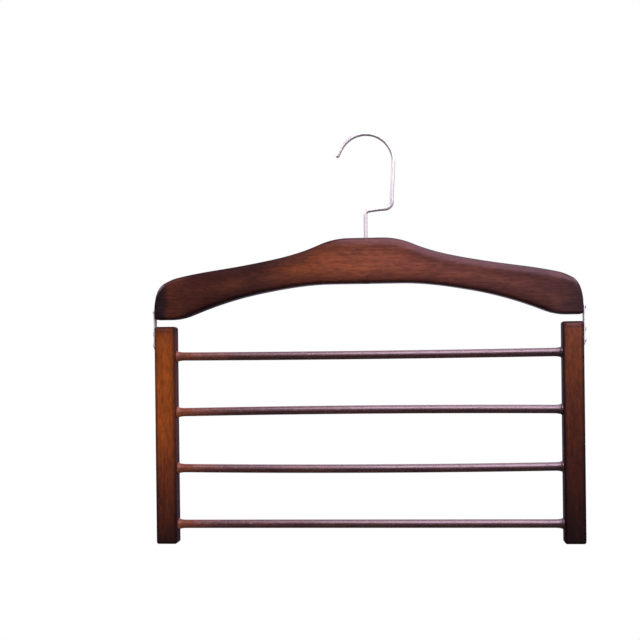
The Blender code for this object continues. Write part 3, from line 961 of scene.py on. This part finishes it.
def make_screw(name, side, place, body):
    """A round-head screw with a cross recess."""
    node = f"{name}_{place}_screw"
    head, shank = SCREW_HEAD_DIAMETER / 2, SCREW_SHANK_DIAMETER / 2
    dome = [(head * math.sin(a), SCREW_HEAD_HEIGHT * math.cos(a)) for a in quarter_turn(EASE_STEPS)]
    profile = [*dome, (shank, 0), (shank, SCREW_POINT - SCREW_LENGTH), (0, -SCREW_LENGTH)]
    turn = outwards(side)
    at = (side * SCREW_SEAT_X, 0, middle_of(node).z)
    screw = turned(f"{name}_{place}_plate_screw", profile, SCREW_SIDES, turn, at)
    span, width = RECESS_SPAN / 2, RECESS_WIDTH / 2
    bottom, top = SCREW_HEAD_HEIGHT - RECESS_DEPTH, SCREW_HEAD_HEIGHT + CUT_MARGIN
    cutters = [
        block(f"{node}_recess_1", (-span, -width, bottom), (span, width, top), turn, at),
        block(f"{node}_recess_2", (-width, -span, bottom), (width, span, top), turn, at),
    ]
    cut(screw, cutters)
    dress(screw, node, body, screw_metal)


make_hook()
make_yoke()
for side_name, side_sign in SIDES:
    make_stile(side_name, side_sign)
    make_plate(side_name, side_sign)
    make_screw(side_name, side_sign, "pivot", "yoke")
    make_screw(side_name, side_sign, "upper", "ladder")
    make_screw(side_name, side_sign, "lower", "ladder")
for rail_name, rail_bow in RAIL_BOWS.items():
    make_rail(rail_name, rail_bow)
for node_name, finish in (("hook_bush", bush_brass), ("hook_washer", screw_metal)):
    node_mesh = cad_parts[node_name].data
    node_mesh.materials.clear()
    node_mesh.materials.append(finish)


# Floor

FLOOR_Z = -1.0
FLOOR_RADIUS = 1.15
FLOOR_DARK, FLOOR_PALE = 0.80, 0.84
FLOOR_SPECKLE_SCALE = (60, 60, 60)
FLOOR_ROUGHNESS = 0.8


def make_floor():
    """A pale round floor well below the hanger, so its shadow falls outside the photograph's view."""
    bm = bmesh.new()
    bmesh.ops.create_circle(bm, cap_ends=True, segments=FLOOR_SIDES, radius=FLOOR_RADIUS)
    bmesh.ops.translate(bm, verts=bm.verts, vec=(0, 0, FLOOR_Z))
    mesh = mesh_of(bm, "floor")
    made, g, shader = new_material("pale_floor")
    point = g.add("ShaderNodeTexCoord").outputs["Object"]
    speckle = g.noise(point, FLOOR_SPECKLE_SCALE, 4)
    colour = g.ramp(speckle, [(0.3, (FLOOR_DARK,) * 3), (0.7, (FLOOR_PALE,) * 3)])
    g.tree.links.new(colour, shader.inputs["Base Color"])
    set_sockets(shader, {"Roughness": FLOOR_ROUGHNESS})
    floor = new_object("floor", mesh)
    mesh.materials.append(made)
    floor.visible_glossy = False


# Light

def softbox(name, at, target, width, height, radiance):
    """An area lamp of a given brightness, facing its target."""
    lamp = bpy.data.lights.new(name, "AREA")
    lamp.shape = "RECTANGLE"
    lamp.size = width
    lamp.size_y = height
    lamp.energy = radiance * width * height * math.pi
    obj = new_object(name, lamp)
    obj.location = at
    obj.rotation_euler = (Vector(target) - Vector(at)).to_track_quat("-Z", "Y").to_euler()


ROOM_TINT = (0.92, 0.80, 1.0)
FRONT_LOW = 0.12  # brightness in front, at the floor and at the left
FRONT_RIGHT = 0.55
BACK_LOW = 0.05
BACK_GLOW = 0.6  # low and straight behind, for the faces that are seen at a flat angle
SOFT_LOW, SOFT_HIGH = 0.18, 0.75  # of the light that falls on every side


def make_world():
    """White for the camera. Reflections see a room that is bright above and shaded below, darker behind and at
    the left."""
    world = bpy.data.worlds.new("studio")
    bpy.context.scene.world = world
    world.use_nodes = True
    g = Graph(world.node_tree)
    background = world.node_tree.nodes["Background"]
    direction = g.add("ShaderNodeTexCoord").outputs["Generated"]
    rightward, backward, upward = g.add("ShaderNodeSeparateXYZ", {0: direction}).outputs
    path = g.add("ShaderNodeLightPath")
    seen = g.math("MAXIMUM", path.outputs["Is Camera Ray"], path.outputs["Is Transmission Ray"])

    # Each brightness changes between two parts of the direction, from -1 to 1
    front = g.times(
        g.fit(upward, -0.35, 0.25, FRONT_LOW, 1.0, smooth_step=True),
        g.fit(rightward, -0.6, 0.6, FRONT_LOW, FRONT_RIGHT, smooth_step=True),
    )
    back = g.fit(upward, 0.1, 0.5, BACK_LOW, 1.0, smooth_step=True)
    to_back = g.fit(backward, 0.2, 0.8, smooth_step=True)
    room = g.plus(front, g.times(to_back, g.math("SUBTRACT", back, front)))
    glow = g.times(g.fit(backward, 0.975, 0.982), g.fit(upward, 0.12, 0.06, 0.0, BACK_GLOW))
    room = g.math("MAXIMUM", room, glow)
    soft = g.fit(upward, -0.6, 0.8, SOFT_LOW, SOFT_HIGH, smooth_step=True)

    strength = g.math("MAXIMUM", seen, g.times(path.outputs["Is Glossy Ray"], room))
    strength = g.math("MAXIMUM", strength, g.times(path.outputs["Is Diffuse Ray"], soft))
    tint = g.blend("MIX", path.outputs["Is Glossy Ray"], (1, 1, 1), ROOM_TINT)
    g.tree.links.new(tint, background.inputs["Color"])
    g.tree.links.new(strength, background.inputs["Strength"])


# Camera

def make_camera():
    turn = Matrix.Rotation(CAMERA_AZIMUTH, 3, "Z")
    forward = turn @ Vector((0, 1, 0))
    right = turn @ Vector((math.cos(CAMERA_ROLL), 0, -math.sin(CAMERA_ROLL)))
    up = turn @ Vector((math.sin(CAMERA_ROLL), 0, math.cos(CAMERA_ROLL)))
    camera = bpy.data.cameras.new("camera")
    camera.sensor_width = SENSOR_WIDTH
    camera.lens = CAMERA_FOCAL_PX / PICTURE_PX * SENSOR_WIDTH
    camera.shift_x = -CAMERA_CENTRE_PX[0] / PICTURE_PX
    camera.shift_y = CAMERA_CENTRE_PX[1] / PICTURE_PX
    camera.clip_start = 0.01
    camera.clip_end = 20
    obj = new_object("camera", camera)
    axes = Matrix((right, up, -forward)).transposed().to_4x4()
    obj.matrix_world = Matrix.Translation(CAMERA_TARGET - forward * CAMERA_DISTANCE) @ axes
    bpy.context.scene.camera = obj


make_floor()
softbox("key_light", (0.25, -0.70, 0.72), (0, 0, -0.2), width=1.0, height=1.3, radiance=4.05)
softbox("top_light", (0.25, 0.35, 0.95), (0, 0, -0.2), width=1.0, height=0.7, radiance=1.5)
softbox("left_rim_light", (-1.05, -0.3, 0.5), (-0.2, 0, -0.15), width=0.3, height=0.4, radiance=16.5)
softbox("right_rim_light", (1.0, -0.3, 0.65), (0.2, 0, -0.15), width=0.3, height=0.4, radiance=16.5)
make_world()
make_camera()
bpy.context.scene.view_settings.view_transform = "Standard"
